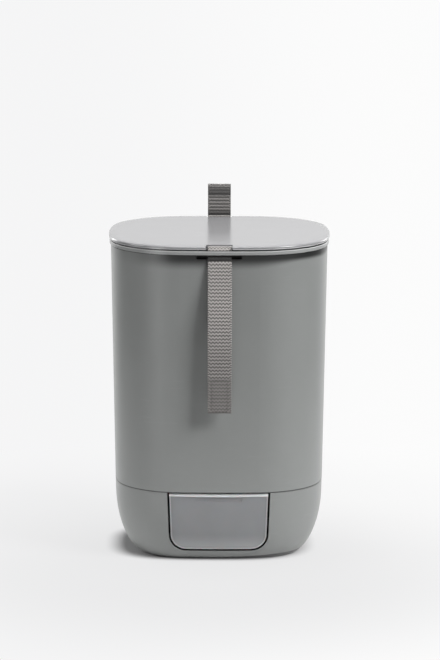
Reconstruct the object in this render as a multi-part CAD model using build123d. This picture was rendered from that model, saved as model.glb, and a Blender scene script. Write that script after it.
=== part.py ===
"""Kitchen bokashi bin: lid, airtight bucket with strainer and drain valve, base with a juice cup,
and two webbing straps on pins under the rim collar.

Millimetres, +X right, +Y to the back, +Z up. The origin is the middle of the base's foot on the floor.
Every plan outline is the lid's outline moved inwards: eight tangent arcs that keep their centres.
"""
import math
import os

from build123d import *

# Plan outline, at the edge of the lid
LID_HALF_WIDTH = 132.0
LID_HALF_DEPTH = 125.0
CORNER_RADIUS = 88.4
SIDE_SWELL = 2.6
FRONT_SWELL = 1.6

# Heights
BASE_HEIGHT = 86.0
BUCKET_HEIGHT = 288.0
COLLAR_HEIGHT = 5.6
COLLAR_OVER_WALL = 2.6
LID_GAP = 1.3
LID_EDGE_HEIGHT = 3.5
LID_CROWN = 0.6

# Bucket
WALL = 2.6
WALL_INSET_TOP = 2.2
WALL_INSET_BOTTOM = 7.3
FLOOR_THICKNESS = 3.0
FLOOR_ABOVE_PARTING = 18.5
FLOOR_TILT = 2.0
POCKET_SIDE_GAP = 2.6
POCKET_HEIGHT = 4.6
POCKET_WALL = 2.4

# Collar
COLLAR_INSET = 0.7
COLLAR_BAND = 1.4
COLLAR_PLATE = 2.4
COLLAR_LIP = 1.4
COLLAR_LIP_DEPTH = 6.0
COLLAR_CLEARANCE = 0.2

# Lid
LID_NOTCH_SIDE_GAP = 1.5
LID_NOTCH_BACK_GAP = 0.4
LID_NOTCH_RADIUS = 1.5
LID_PLATE = 2.2
LID_RIM = 2.4
LID_EDGE_RADIUS = 1.6
LID_SLOPE_WIDTH = 7.0
LID_RIB_INSET = 3.4
LID_RIB = 1.6
LID_SKIRT = 2.0
LID_SKIRT_DEPTH = 15.0
LID_SKIRT_CLEARANCE = 1.2
SEAL_HEIGHT = 3.0
SEAL_GROOVE = 0.8
SEAL_CLEARANCE = 0.3
SEAL_ABOVE_SKIRT_END = 3.0

# Straps and their pins
STRAP_WIDTH = 28.0
STRAP_PLY = 1.6
STRAP_BETWEEN_PLIES = 0.1
STRAP_LENGTH = 182.0
STRAP_STANDS_ABOVE_LID = 37.5
STRAP_BEND_RADIUS = 12.0
STRAP_BOW = 12.0
STRAP_BOW_DROP = 74.0
STRAP_BOW_RADIUS = 160.0
STRAP_OFF_WALL = 0.25
STRAP_PIVOT_GAP = 0.15
PIN_RADIUS = 3.5
PIN_IN_BOSS = 6.0
PIN_ABOVE_COLLAR = 2.7
PIN_TO_BAND = 2.8
PIN_STRAP_GAP = 0.1
PIN_FIT = 0.05
PIN_END_GAP = 0.2
PIN_THROAT = 5.96
BOSS_WALL = 1.6
BOSS_GRIP = 2.0
BOSS_LENGTH = 7.7
STRAP_SIDE_GAP = 2.2
HEM_LENGTH = 43.0
EXIT_STRAIGHT = 0.8
EXIT_BELOW_BAND = 0.4
CROOK_RADIUS = 1.6
BACK_PLY_BELOW_PIN = 0.2
LAP_BELOW_PIN = 2.6
LAP_FROM_FRONT_PLY = 1.4

# Base
BASE_WALL = 3.0
BASE_TAPER = 2.4
BASE_ROUND_IN = 31.4
BASE_STRAIGHT = 17.0
BASE_FLOOR = 3.0
PARTING_GROOVE = 0.6
SPIGOT_HEIGHT = 5.0
SPIGOT_ROOT = 14.0
SPIGOT_WALL = 2.2
SPIGOT_CLEARANCE = 0.4
BAY_BOTTOM_Z = 13.1
BAY_HALF_WIDTH = 60.7
BAY_SIDE_DRAFT = 2.05
BAY_CORNER_RADIUS = 20.3
BAY_CUT_DEPTH = 80.0
RAIL_WIDTH = 5.0
RAIL_SPACING = 72.0
GUIDE_WALL = 2.0
GUIDE_HEIGHT = 34.0
GUIDE_CLEARANCE = 0.5

# Juice cup
CUP_GAP = 2.0
CUP_WALL = 2.2
CUP_BACK_Y = 12.0
CUP_RIM_BELOW_PARTING = 19.0
CUP_FRONT_WALL = 3.2
CUP_TOP_GAP = 1.0
CUP_LIP_HEIGHT = 3.4
CUP_GRIP_EXTRA = 0.8
CUP_GRIP_WIDTH = 55.0
CUP_LIP_SLOPE = 1.8
CUP_FACE_RECESS = 0.7
CUP_FRAME = 1.6
CUP_GRIP_RECESS = 0.6
CUP_GRIP_HEIGHT = 5.4
CUP_RAIL_GAP = 0.3

# Strainer
STRAINER_ABOVE_FLOOR = 16.5
STRAINER_THICKNESS = 3.0
STRAINER_CLEARANCE = 1.6
STRAINER_RIM_HEIGHT = 7.0
STRAINER_RIM = 2.0
HOLE_RADIUS = 2.6
HOLE_PITCH = 12.0
HOLE_MARGIN = 9.0
FINGER_HOLE_RADIUS = 11.0
FINGER_HOLE_SPACING = 60.0
LEG_RADIUS = 4.0
LEG_GAP = 0.3
LEG_X = 78.0
LEG_Y = 68.0

# Drain valve
VALVE_Y = -70.0
SUMP_RADIUS = 28.0
SUMP_WALL = 2.6
SUMP_DEPTH = 8.5
VALVE_TUBE_RADIUS = 9.0
VALVE_BORE_RADIUS = 6.6
VALVE_TUBE_LENGTH = 18.4
VALVE_FLANGE_RADIUS = 15.0
VALVE_FLANGE = 2.5
VALVE_HOLE_CLEARANCE = 0.2
GASKET_THICKNESS = 1.5
NUT_FLATS = 26.0
NUT_HEIGHT = 6.0
NUT_FIT = 0.05
STEM_RADIUS = 2.5
STEM_FIT = 0.08
SPIDER_HEIGHT = 3.0
SPIDER_ABOVE_TUBE_END = 7.0
SPIDER_HUB = 1.3
SPIDER_ARM = 1.8
SEAL_DISC_HEIGHT = 1.5
SEAL_DISC_RADIUS = 8.2
STEM_HEAD_HEIGHT = 3.0
STEM_HEAD_RADIUS = 9.0
VALVE_TRAVEL = 5.0
VALVE_TRAVEL_SPARE = 0.6
BUTTON_RADIUS = 9.0
BUTTON_HEIGHT = 6.0
BUTTON_SOCKET = 4.0
SPRING_WIRE_RADIUS = 0.4
SPRING_RADIUS = 4.6
SPRING_TURNS = 6
SPRING_END_GAP = 0.1

# Derived corner arcs' centre: the swell is how far the side and front arcs stand out past the corner arcs
CORNER_CENTRE_X = LID_HALF_WIDTH - CORNER_RADIUS - SIDE_SWELL
CORNER_CENTRE_Y = LID_HALF_DEPTH - CORNER_RADIUS - FRONT_SWELL

# Derived heights
BASE_ROUND_UP = BASE_HEIGHT - BASE_STRAIGHT
CUP_RIM_Z = BASE_HEIGHT - CUP_RIM_BELOW_PARTING
FLOOR_MIDDLE_Z = BASE_HEIGHT + FLOOR_ABOVE_PARTING
SUMP_FLOOR_Z = FLOOR_MIDDLE_Z - SUMP_DEPTH
STRAINER_Z = FLOOR_MIDDLE_Z + STRAINER_ABOVE_FLOOR
BUCKET_TOP_Z = BASE_HEIGHT + BUCKET_HEIGHT
COLLAR_TOP_Z = BUCKET_TOP_Z + COLLAR_OVER_WALL
COLLAR_BOTTOM_Z = COLLAR_TOP_Z - COLLAR_HEIGHT
POCKET_BOTTOM_Z = COLLAR_BOTTOM_Z - POCKET_HEIGHT
LID_BOTTOM_Z = COLLAR_TOP_Z + LID_GAP
LID_SHOULDER_Z = LID_BOTTOM_Z + LID_EDGE_HEIGHT
LID_TOP_Z = LID_SHOULDER_Z + LID_CROWN
LID_PLATE_Z = LID_TOP_Z - LID_PLATE
SKIRT_END_Z = LID_PLATE_Z - LID_SKIRT_DEPTH

# Derived strap places, as distances from the middle; the front ones are negative in Y
PIN_Z = COLLAR_TOP_Z + PIN_ABOVE_COLLAR - PIN_RADIUS
BAND_INNER = LID_HALF_DEPTH - COLLAR_INSET - COLLAR_BAND
PIN_Y = BAND_INNER - PIN_TO_BAND - PIN_RADIUS
WRAP_RADIUS = PIN_RADIUS + PIN_STRAP_GAP + STRAP_PLY
POCKET_BACK = PIN_Y - WRAP_RADIUS - 2 * STRAP_OFF_WALL
BUMP_FACE = POCKET_BACK - POCKET_WALL
STRAP_INNER = LID_HALF_DEPTH - WALL_INSET_TOP + STRAP_PIVOT_GAP
STRAP_OUTER = STRAP_INNER + STRAP_PLY
HEM_THICKNESS = 2 * STRAP_PLY + STRAP_BETWEEN_PLIES
PIVOT_Y = STRAP_OUTER + STRAP_PIVOT_GAP
PIVOT_Z = POCKET_BOTTOM_Z + STRAP_PIVOT_GAP
SLOT_HALF_WIDTH = STRAP_WIDTH / 2 + STRAP_SIDE_GAP
PIN_LENGTH = 2 * (SLOT_HALF_WIDTH + PIN_IN_BOSS)
POCKET_WIDTH = 2 * (SLOT_HALF_WIDTH + BOSS_LENGTH + POCKET_SIDE_GAP)
LID_NOTCH_WIDTH = STRAP_WIDTH + 2 * LID_NOTCH_SIDE_GAP
LID_NOTCH_DEPTH = LID_HALF_DEPTH - PIN_Y + WRAP_RADIUS + LID_NOTCH_BACK_GAP

# Derived valve heights
GASKET_TOP_Z = SUMP_FLOOR_Z + GASKET_THICKNESS
FLANGE_TOP_Z = GASKET_TOP_Z + VALVE_FLANGE
VALVE_TUBE_BOTTOM_Z = FLANGE_TOP_Z - VALVE_TUBE_LENGTH
SPIDER_Z = VALVE_TUBE_BOTTOM_Z + SPIDER_ABOVE_TUBE_END
BUTTON_TOP_Z = VALVE_TUBE_BOTTOM_Z - VALVE_TRAVEL - VALVE_TRAVEL_SPARE
HEAD_Z = FLANGE_TOP_Z + SEAL_DISC_HEIGHT

TALL = 600.0


def plan(inset, z=0.0):
    """The plan outline, `inset` inside the lid's edge, as a closed wire at height z."""
    a = LID_HALF_WIDTH - inset
    b = LID_HALF_DEPTH - inset
    cx, cy = CORNER_CENTRE_X, CORNER_CENTRE_Y
    rc = CORNER_RADIUS - inset
    side_radius = ((a - cx) ** 2 + cy**2 - rc**2) / (2 * (a - cx - rc))
    front_radius = ((b - cy) ** 2 + cx**2 - rc**2) / (2 * (b - cy - rc))
    side_angle = math.atan2(cy, cx - (a - side_radius))
    front_angle = math.atan2(cy - (b - front_radius), cx)
    middle_angle = (side_angle + front_angle) / 2

    def corner(angle, sx, sy):
        return Vector(sx * (cx + rc * math.cos(angle)), sy * (cy + rc * math.sin(angle)), z)

    def arc(start, middle, end):
        return Edge.make_three_point_arc(start, middle, end)

    edges = [arc(corner(side_angle, 1, -1), Vector(a, 0, z), corner(side_angle, 1, 1))]
    edges += [arc(corner(side_angle, 1, 1), corner(middle_angle, 1, 1), corner(front_angle, 1, 1))]
    edges += [arc(corner(front_angle, 1, 1), Vector(0, b, z), corner(front_angle, -1, 1))]
    edges += [arc(corner(front_angle, -1, 1), corner(middle_angle, -1, 1), corner(side_angle, -1, 1))]
    edges += [arc(corner(side_angle, -1, 1), Vector(-a, 0, z), corner(side_angle, -1, -1))]
    edges += [arc(corner(side_angle, -1, -1), corner(middle_angle, -1, -1), corner(front_angle, -1, -1))]
    edges += [arc(corner(front_angle, -1, -1), Vector(0, -b, z), corner(front_angle, 1, -1))]
    edges += [arc(corner(front_angle, 1, -1), corner(middle_angle, 1, -1), corner(side_angle, 1, -1))]
    return Wire(edges)


def plan_face(inset, z=0.0):
    return Face(plan(inset, z))


def prism(inset, z0, z1):
    """A straight solid with the plan outline, from z0 to z1."""
    return extrude(plan_face(inset, z0), amount=z1 - z0, dir=(0, 0, 1))


def block(x0, x1, y0, y1, z0, z1):
    """A box given by its corners."""
    return Pos((x0 + x1) / 2, (y0 + y1) / 2, (z0 + z1) / 2) * Box(abs(x1 - x0), abs(y1 - y0), abs(z1 - z0))


def tube(x, y, z0, z1, radius, hole=0.0):
    """An upright cylinder, with a hole if one is given."""
    centre = Pos(x, y, (z0 + z1) / 2)
    solid = centre * Cylinder(radius, z1 - z0)
    if hole > 0:
        solid -= centre * Cylinder(hole, z1 - z0 + 2)
    return solid


def wall_inset(z):
    """Inset of the bucket's outer face at height z: it narrows evenly towards the base."""
    return WALL_INSET_BOTTOM + (WALL_INSET_TOP - WALL_INSET_BOTTOM) * (z - BASE_HEIGHT) / BUCKET_HEIGHT


def tapered(extra, z0, z1):
    """The bucket's tapered form, `extra` inside its outer face, from z0 to z1."""
    return loft([plan_face(wall_inset(z0) + extra, z0), plan_face(wall_inset(z1) + extra, z1)], ruled=True)


def mirrored_pair(shape):
    """A front shape and its mirror image at the back."""
    return [shape, shape.mirror(Plane.XZ)]


def floor_slab(low, high):
    """All space between two planes parallel to the bucket's tilted floor."""
    slab = Pos(0, 0, (low + high) / 2) * Box(2 * TALL, 2 * TALL, high - low)
    return Pos(0, 0, FLOOR_MIDDLE_Z) * Rot(FLOOR_TILT, 0, 0) * slab


def floor_z(y):
    """Height of the floor's upper face."""
    return FLOOR_MIDDLE_Z + y * math.tan(math.radians(FLOOR_TILT))


def opening_face(clearance, z):
    """The bucket's clear opening under its rim, seen from above, moved in by `clearance`."""
    face = plan_face(wall_inset(z) + WALL + clearance, z)
    half = POCKET_WIDTH / 2 + POCKET_WALL + clearance
    bump_y = BUMP_FACE - clearance
    for side in (-1, 1):
        face -= Pos(0, side * (bump_y + TALL / 2), z) * Rectangle(2 * half, TALL)
    return face


def opening_prism(clearance, z0, z1):
    return extrude(opening_face(clearance, z0), amount=z1 - z0, dir=(0, 0, 1))


def make_bucket():
    outer = tapered(0, BASE_HEIGHT, BUCKET_TOP_Z)
    inner = tapered(WALL, BASE_HEIGHT, BUCKET_TOP_Z)
    shell = outer - (inner - floor_slab(-FLOOR_THICKNESS, 0))
    half = POCKET_WIDTH / 2
    bump = block(
        -half - POCKET_WALL, half + POCKET_WALL, -LID_HALF_DEPTH, -BUMP_FACE,
        POCKET_BOTTOM_Z - POCKET_WALL, BUCKET_TOP_Z,
    )
    pocket = block(-half, half, -LID_HALF_DEPTH - 5, -POCKET_BACK, POCKET_BOTTOM_Z, BUCKET_TOP_Z + 5)
    for solid in mirrored_pair(bump & outer):
        shell += solid
    for void in mirrored_pair(pocket):
        shell -= void
    well = tube(0, VALVE_Y, SUMP_FLOOR_Z - FLOOR_THICKNESS, floor_z(VALVE_Y), SUMP_RADIUS + SUMP_WALL)
    well -= floor_slab(-0.5 * FLOOR_THICKNESS, TALL)
    shell += well
    shell -= tube(0, VALVE_Y, SUMP_FLOOR_Z, floor_z(VALVE_Y) + 5, SUMP_RADIUS)
    hole_radius = VALVE_TUBE_RADIUS + VALVE_HOLE_CLEARANCE
    shell -= tube(0, VALVE_Y, SUMP_FLOOR_Z - 2 * FLOOR_THICKNESS, SUMP_FLOOR_Z + 1, hole_radius)
    return shell


def make_collar():
    lip_outer = COLLAR_CLEARANCE
    lip_inner = COLLAR_CLEARANCE + COLLAR_LIP
    plate_z = COLLAR_TOP_Z - COLLAR_PLATE
    collar = prism(COLLAR_INSET, COLLAR_BOTTOM_Z, COLLAR_TOP_Z)
    collar -= prism(COLLAR_INSET + COLLAR_BAND, COLLAR_BOTTOM_Z - 1, plate_z)
    lip = opening_prism(lip_outer, COLLAR_BOTTOM_Z - COLLAR_LIP_DEPTH, plate_z)
    collar += lip
    collar -= opening_prism(lip_inner, COLLAR_BOTTOM_Z - COLLAR_LIP_DEPTH - 1, COLLAR_TOP_Z + 1)
    slot = block(
        -SLOT_HALF_WIDTH, SLOT_HALF_WIDTH, -BAND_INNER, -POCKET_BACK, COLLAR_BOTTOM_Z - 1, COLLAR_TOP_Z + 1
    )
    boss_y0 = -PIN_Y - PIN_RADIUS - BOSS_WALL
    boss_y1 = -PIN_Y + PIN_RADIUS + BOSS_WALL
    groove = Pos(0, -PIN_Y, PIN_Z) * Rot(0, 90, 0) * Cylinder(PIN_RADIUS + PIN_FIT, PIN_LENGTH + 2 * PIN_END_GAP)
    half_groove = PIN_LENGTH / 2 + PIN_END_GAP
    throat = block(
        -half_groove, half_groove, -PIN_Y - PIN_THROAT / 2, -PIN_Y + PIN_THROAT / 2, PIN_Z, LID_TOP_Z
    )
    for void in mirrored_pair(slot):
        collar -= void
    for sx in (-1, 1):
        boss = block(
            sx * SLOT_HALF_WIDTH, sx * (SLOT_HALF_WIDTH + BOSS_LENGTH), boss_y0, boss_y1,
            PIN_Z - PIN_RADIUS - BOSS_WALL, PIN_Z + BOSS_GRIP,
        )
        for solid in mirrored_pair(boss):
            collar += solid
    for void in mirrored_pair(groove) + mirrored_pair(throat):
        collar -= void
    return collar


def make_pin(side):
    pin = Rot(0, 90, 0) * Cylinder(PIN_RADIUS, PIN_LENGTH)
    pin = chamfer(pin.edges(), 0.5)
    return Pos(0, side * PIN_Y, PIN_Z) * pin


def make_lid():
    body = prism(0, LID_BOTTOM_Z, LID_SHOULDER_Z)
    crown = loft([plan_face(0, LID_SHOULDER_Z), plan_face(LID_SLOPE_WIDTH, LID_TOP_Z)], ruled=True)
    body += crown
    rim_edges = [e for e in body.edges() if abs(e.bounding_box().max.Z - LID_SHOULDER_Z) < 1e-4
                 and abs(e.bounding_box().min.Z - LID_SHOULDER_Z) < 1e-4]
    body = fillet(rim_edges, LID_EDGE_RADIUS)
    body -= prism(LID_RIM, LID_BOTTOM_Z - 1, LID_PLATE_Z)
    rib = prism(LID_RIB_INSET, COLLAR_TOP_Z, LID_PLATE_Z) - prism(LID_RIB_INSET + LID_RIB, COLLAR_TOP_Z, LID_PLATE_Z)
    rib_gap = SLOT_HALF_WIDTH + BOSS_LENGTH + BOSS_WALL
    rib -= block(-rib_gap, rib_gap, -TALL, TALL, COLLAR_TOP_Z - 1, LID_PLATE_Z)
    outer = COLLAR_CLEARANCE + COLLAR_LIP + LID_SKIRT_CLEARANCE
    skirt = opening_prism(outer, SKIRT_END_Z, LID_PLATE_Z)
    skirt -= opening_prism(outer + LID_SKIRT, SKIRT_END_Z - 1, LID_PLATE_Z + 1)
    groove_z = SKIRT_END_Z + SEAL_ABOVE_SKIRT_END
    groove = opening_prism(0, groove_z, groove_z + SEAL_HEIGHT)
    groove -= opening_prism(outer + SEAL_GROOVE, groove_z - 1, groove_z + SEAL_HEIGHT + 1)
    body += rib
    body += skirt - groove
    notch = Pos(0, 0, LID_TOP_Z - TALL / 2 + 5) * extrude(
        RectangleRounded(LID_NOTCH_WIDTH, 2 * LID_NOTCH_DEPTH, LID_NOTCH_RADIUS), amount=TALL / 2
    )
    for side in (-1, 1):
        body -= Pos(0, side * LID_HALF_DEPTH, 0) * notch
    return body


def make_lid_seal():
    outer = COLLAR_CLEARANCE + COLLAR_LIP + SEAL_CLEARANCE
    inner = COLLAR_CLEARANCE + COLLAR_LIP + LID_SKIRT_CLEARANCE + SEAL_GROOVE
    z0 = SKIRT_END_Z + SEAL_ABOVE_SKIRT_END
    ring = opening_prism(outer, z0, z0 + SEAL_HEIGHT)
    return ring - opening_prism(inner, z0 - 1, z0 + SEAL_HEIGHT + 1)


def webbing(points, radii, thickness):
    """Webbing of the strap's width whose middle runs through points of the Y-Z plane, corners rounded."""
    steps = [Vector(*q) - Vector(*p) for p, q in zip(points, points[1:])]
    across = [Vector(-d.Y, d.X).normalized() for d in steps]
    turns = [math.copysign(1, d.X * e.Y - d.Y * e.X) for d, e in zip(steps, steps[1:])]
    sides = []
    for shift in (thickness / 2, -thickness / 2):
        moved = [Vector(*points[0]) + across[0] * shift]
        for point, m, n in zip(points[1:-1], across, across[1:]):
            moved.append(Vector(*point) + (m + n) * (shift / (1 + m.dot(n))))
        moved.append(Vector(*points[-1]) + across[-1] * shift)
        sides.append(FilletPolyline(*moved, radius=[r - shift * turn for r, turn in zip(radii, turns)]))
    left, right = sides
    outline = make_face([left, right, Line(left @ 0, right @ 0), Line(left @ 1, right @ 1)])
    return extrude(Plane.YZ * outline, amount=STRAP_WIDTH / 2, both=True)


def with_hem(strap, y, side, bottom):
    """A strap with its end at height `bottom` turned up against the side of it that faces +Y or -Y."""
    face = y + side * STRAP_PLY / 2
    back = y + side * (HEM_THICKNESS - STRAP_PLY / 2)
    hem = block(-STRAP_WIDTH / 2, STRAP_WIDTH / 2, face, back, bottom, bottom + HEM_LENGTH)
    joined = strap + hem
    fold = [e for e in joined.edges() if e.bounding_box().max.Z < bottom + 0.1 and e.bounding_box().size.X > 1]
    return fillet(fold, 0.45 * HEM_THICKNESS)


def make_strap_anchor():
    """The front strap's end: up behind the band, over the pin, down its back and lapped on itself."""
    wrap = PIN_RADIUS + PIN_STRAP_GAP + STRAP_PLY / 2
    back_y = -PIN_Y + wrap
    front_y = -PIN_Y - wrap
    hang_y = -STRAP_INNER - STRAP_PLY / 2
    exit_z = PIVOT_Z + STRAP_PIVOT_GAP
    top_z = PIN_Z + wrap
    points = [
        (hang_y, exit_z),
        (hang_y, exit_z + EXIT_STRAIGHT),
        (front_y, COLLAR_BOTTOM_Z - EXIT_BELOW_BAND),
        (front_y, top_z),
        (back_y, top_z),
        (back_y, PIN_Z - wrap - BACK_PLY_BELOW_PIN),
        (front_y + LAP_FROM_FRONT_PLY, PIN_Z - wrap - LAP_BELOW_PIN),
    ]
    bend = 0.999 * wrap
    return webbing(points, [CROOK_RADIUS, CROOK_RADIUS, bend, bend, CROOK_RADIUS], STRAP_PLY)


def make_front_strap():
    """The front strap below the collar: it slopes away from the wall, then hangs, its end turned up inside."""
    top = PIVOT_Z - STRAP_PIVOT_GAP
    middle_y = -(STRAP_INNER + STRAP_OUTER) / 2
    hang_y = middle_y - STRAP_BOW
    slope_saves = math.hypot(STRAP_BOW, STRAP_BOW_DROP) - STRAP_BOW_DROP
    bottom = PIVOT_Z - STRAP_LENGTH + slope_saves
    points = [(middle_y, top), (hang_y, top - STRAP_BOW_DROP), (hang_y, bottom)]
    return with_hem(webbing(points, [STRAP_BOW_RADIUS], STRAP_PLY), hang_y, 1, bottom)


STEM_Y = PIVOT_Y + STRAP_PIVOT_GAP + STRAP_PLY / 2
BEND_Y = STEM_Y + STRAP_BEND_RADIUS
BEND_Z = LID_TOP_Z + STRAP_STANDS_ABOVE_LID - STRAP_PLY / 2 - STRAP_BEND_RADIUS
STEM_BOTTOM_Z = PIVOT_Z + STRAP_PIVOT_GAP
TAIL_LENGTH = STRAP_LENGTH - (BEND_Z - STEM_BOTTOM_Z) - math.pi * STRAP_BEND_RADIUS


def bend_point(angle, radius=STRAP_BEND_RADIUS):
    """A point on the rear strap's bend, by the angle turned from the stem's side over the top."""
    turned = math.radians(angle)
    return (BEND_Y - radius * math.cos(turned), BEND_Z + radius * math.sin(turned))


def bent_strap(low, high, start=None, end=None):
    """The rear strap along its bend between two angles, with a straight run from `start` or to `end`."""
    corner = bend_point((low + high) / 2, STRAP_BEND_RADIUS / math.cos(math.radians((high - low) / 2)))
    points = [start or bend_point(low), corner, end or bend_point(high)]
    return webbing(points, [0.995 * STRAP_BEND_RADIUS], STRAP_PLY)


FOLD_GAP_ANGLE = math.degrees(STRAP_PIVOT_GAP / STRAP_BEND_RADIUS)
FOLD_PIVOT_RADIUS = STRAP_BEND_RADIUS + STRAP_PLY / 2 + STRAP_PIVOT_GAP


def make_rear_stem():
    return bent_strap(0, 45 - FOLD_GAP_ANGLE, start=(STEM_Y, STEM_BOTTOM_Z))


def make_rear_crest():
    return bent_strap(45 + FOLD_GAP_ANGLE, 135 - FOLD_GAP_ANGLE)


def make_rear_tail():
    bottom = BEND_Z - TAIL_LENGTH
    y = BEND_Y + STRAP_BEND_RADIUS
    return with_hem(bent_strap(135 + FOLD_GAP_ANGLE, 180, end=(y, bottom)), y, -1, bottom)


def base_form(extra, floor=0.0):
    """The base as a filled form, `extra` inside its skin: a slight taper above an elliptical round."""
    heights = [BASE_ROUND_UP * (1 - math.cos(math.radians(angle))) for angle in range(0, 91, 10)]
    heights.append(BASE_HEIGHT)
    faces = []
    for z in heights:
        rise = max(0.0, 1 - z / BASE_ROUND_UP)
        round_in = BASE_ROUND_IN * (1 - math.sqrt(1 - rise**2))
        inset = WALL_INSET_BOTTOM + BASE_TAPER * (1 - z / BASE_HEIGHT) + round_in
        faces.append(plan_face(inset + extra, floor + z * (1 - floor / BASE_HEIGHT)))
    return loft(faces)


def bay_half_width(z):
    """Half the width of the cup opening at height z: its sides lean in towards the bottom."""
    return BAY_HALF_WIDTH + (z - BASE_HEIGHT) * math.tan(math.radians(BAY_SIDE_DRAFT))


def bay_profile(gap, top):
    """The cup opening seen from the front, `gap` inside its edge, up to a height."""
    bottom = BAY_BOTTOM_Z + gap
    low = bay_half_width(bottom) - gap
    high = bay_half_width(top) - gap
    outline = make_face(Polyline((-low, bottom), (low, bottom), (high, top), (-high, top), close=True))
    corners = outline.vertices().sort_by(Axis.Y)[:2]
    return fillet(corners, BAY_CORNER_RADIUS - gap)


def bay_prism(gap, top, y0, y1):
    """The cup opening's form from y0 to y1."""
    return extrude(Plane.XZ.offset(-y1) * bay_profile(gap, top), amount=y1 - y0)


def make_base():
    """The bowl with its spigot, the cup's opening in front, and the rails and guides that the cup runs on."""
    body = base_form(0)
    shell = body - base_form(BASE_WALL, BASE_FLOOR)
    spigot_inset = WALL_INSET_BOTTOM + WALL + SPIGOT_CLEARANCE
    root_z = BASE_HEIGHT - SPIGOT_ROOT
    tip_z = BASE_HEIGHT + SPIGOT_HEIGHT
    shell += prism(spigot_inset, root_z, tip_z) - prism(spigot_inset + SPIGOT_WALL, root_z - 1, tip_z + 1)
    cup_bottom = BAY_BOTTOM_Z + CUP_GAP
    rail_top = cup_bottom - CUP_RAIL_GAP
    back = CUP_BACK_Y + GUIDE_CLEARANCE
    guide_top = BAY_BOTTOM_Z + GUIDE_HEIGHT
    guide_half = bay_half_width(guide_top) - CUP_GAP + GUIDE_CLEARANCE
    for sx in (-1, 1):
        rail_x = sx * RAIL_SPACING / 2
        rail = block(rail_x - RAIL_WIDTH / 2, rail_x + RAIL_WIDTH / 2, -LID_HALF_DEPTH, back, 1, rail_top)
        shell += rail & body
        shell += block(sx * guide_half, sx * (guide_half + GUIDE_WALL), -BAY_CUT_DEPTH, back, 1, guide_top)
    stop_half = guide_half + GUIDE_WALL
    shell += block(-stop_half, stop_half, back, back + GUIDE_WALL, 1, guide_top)
    shell -= bay_prism(0, BASE_HEIGHT + 2 * SPIGOT_HEIGHT, -LID_HALF_DEPTH - 10, -BAY_CUT_DEPTH)
    groove = prism(0, BASE_HEIGHT - PARTING_GROOVE, BASE_HEIGHT + 1)
    groove -= prism(WALL_INSET_BOTTOM + PARTING_GROOVE, BASE_HEIGHT - PARTING_GROOVE - 1, BASE_HEIGHT + 2)
    return shell - groove


def make_cup():
    front = -LID_HALF_DEPTH - 10
    top = BASE_HEIGHT - CUP_TOP_GAP
    body = base_form(0) & bay_prism(CUP_GAP, top, front, CUP_BACK_Y)
    inside = base_form(CUP_FRONT_WALL)
    hollow = bay_prism(CUP_GAP + CUP_WALL, top + 5, front, CUP_BACK_Y - CUP_WALL)
    cup = body - (inside & hollow)
    cup -= inside & block(-TALL, TALL, -LID_HALF_DEPTH, CUP_BACK_Y + 1, CUP_RIM_Z, top + 1)
    lip_z = top - CUP_LIP_HEIGHT
    lip_cut = block(-TALL, TALL, front, -LID_HALF_DEPTH / 2, lip_z, top + 1)
    slope = [plan_face(WALL_INSET_BOTTOM + 0.1, lip_z), plan_face(WALL_INSET_BOTTOM + CUP_LIP_SLOPE, top + 0.01)]
    cup -= lip_cut - loft(slope, ruled=True)
    face_top = lip_z
    grip_top = lip_z - CUP_GRIP_EXTRA
    half_grip = CUP_GRIP_WIDTH / 2
    face = bay_prism(CUP_GAP + CUP_FRAME, face_top, front, -LID_HALF_DEPTH / 2)
    face -= block(-half_grip, half_grip, front, 0, grip_top, top)
    cup -= face - base_form(CUP_FACE_RECESS)
    grip = block(-half_grip, half_grip, front, -LID_HALF_DEPTH / 2, grip_top - CUP_GRIP_HEIGHT, grip_top)
    cup -= grip - base_form(CUP_FACE_RECESS + CUP_GRIP_RECESS)
    return cup


def strainer_holes():
    """Centres of the drain holes: a square grid inside the rim, clear of the finger holes and legs."""
    centres = []
    reach = int(LID_HALF_WIDTH // HOLE_PITCH)
    steps = range(-reach, reach + 1)
    edge = opening_face(STRAINER_CLEARANCE + HOLE_MARGIN, STRAINER_Z).faces()[0]
    keep_off = [(sx * FINGER_HOLE_SPACING / 2, 0, FINGER_HOLE_RADIUS) for sx in (-1, 1)]
    keep_off += [(sx * LEG_X, sy * LEG_Y, LEG_RADIUS) for sx in (-1, 1) for sy in (-1, 1)]
    for i in steps:
        for j in steps:
            x, y = i * HOLE_PITCH, j * HOLE_PITCH
            clear = all(math.dist((x, y), (kx, ky)) > r + 2 * HOLE_RADIUS for kx, ky, r in keep_off)
            if clear and edge.is_inside(Vector(x, y, STRAINER_Z)):
                centres.append((x, y))
    return centres


def make_strainer():
    top = STRAINER_Z + STRAINER_THICKNESS
    rim_top = STRAINER_Z + STRAINER_RIM_HEIGHT
    plate = opening_prism(STRAINER_CLEARANCE, STRAINER_Z, rim_top)
    plate -= opening_prism(STRAINER_CLEARANCE + STRAINER_RIM, top, rim_top + 1)
    cutters = [tube(x, y, STRAINER_Z - 1, top + 1, HOLE_RADIUS) for x, y in strainer_holes()]
    for sx in (-1, 1):
        finger_x = sx * FINGER_HOLE_SPACING / 2
        cutters.append(tube(finger_x, 0, STRAINER_Z - 1, top + 1, FINGER_HOLE_RADIUS))
    plate -= cutters
    for sx in (-1, 1):
        for sy in (-1, 1):
            foot = floor_z(sy * LEG_Y + LEG_RADIUS) + LEG_GAP
            plate += tube(sx * LEG_X, sy * LEG_Y, foot, STRAINER_Z + 1, LEG_RADIUS)
    return plate


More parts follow.
